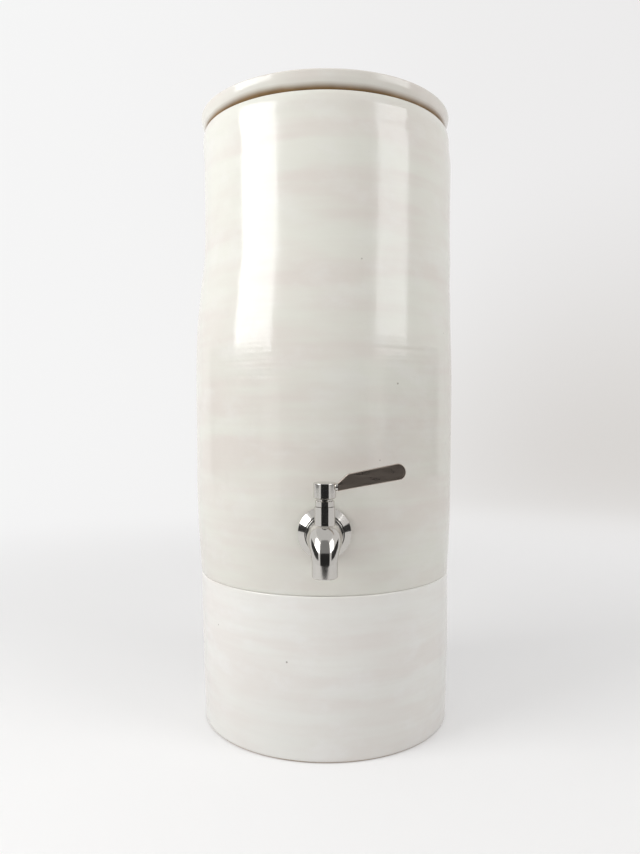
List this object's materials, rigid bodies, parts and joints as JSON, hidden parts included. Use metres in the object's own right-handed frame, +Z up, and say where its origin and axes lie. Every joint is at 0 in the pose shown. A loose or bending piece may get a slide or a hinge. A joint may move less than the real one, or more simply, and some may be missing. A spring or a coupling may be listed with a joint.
{
  "type": "water filter dispenser",
  "caption": "Glazed stoneware water filter dispenser: a lidded crock on a round stand, with a hanging filter chamber and a steel quarter-turn tap.",
  "frame": {"origin": "centre of the stand's foot, on the surface it stands on", "axes": "+Z up, the tap points towards -Y, +X to the right of someone facing the tap"},
  "size_m": [0.2274, 0.2738, 0.5305],
  "materials": {
    "glazed_stoneware": "glossy off-white glaze",
    "porous_ceramic": "matt porous ceramic",
    "carbon": "matt carbon granules",
    "white_plastic": "satin moulded plastic",
    "silicone": "soft white silicone",
    "black_rubber": "black nitrile",
    "seat_plastic": "white fluoropolymer",
    "polished_steel": "mirror-polished stainless steel",
    "brushed_steel": "fine brushed stainless steel"
  },
  "bodies": {
    "vessel": {"base_stand": "glazed_stoneware", "crock": "glazed_stoneware", "lid": "glazed_stoneware", "upper_chamber": "glazed_stoneware", "filter_dome": "porous_ceramic", "filter_carbon_core": "carbon", "filter_base": "white_plastic", "filter_wing_nut": "white_plastic", "filter_seal_washer": "silicone", "filter_lower_washer": "silicone", "tap_body": "polished_steel", "tap_escutcheon": "polished_steel", "tap_bonnet": "polished_steel", "tap_shank": "polished_steel", "tap_washer": "brushed_steel", "tap_lock_nut": "brushed_steel", "tap_outer_gasket": "silicone", "tap_inner_gasket": "silicone", "shank_o_ring": "black_rubber", "valve_seat_rear": "seat_plastic", "valve_seat_front": "seat_plastic"},
    "tap_lever": {"lever_hub": "polished_steel", "lever": "brushed_steel", "hub_grub_screw": "brushed_steel", "valve_stem": "brushed_steel", "valve_ball": "polished_steel", "stem_o_ring_lower": "black_rubber", "stem_o_ring_upper": "black_rubber"}
  },
  "joints": [
    {"name": "lever_turn", "type": "hinge", "parent": "vessel", "child": "tap_lever", "pos_m": [0, -0.13905, 0.2105], "axis": [0, 0, -1], "range_deg": [0, 90]}
  ]
}
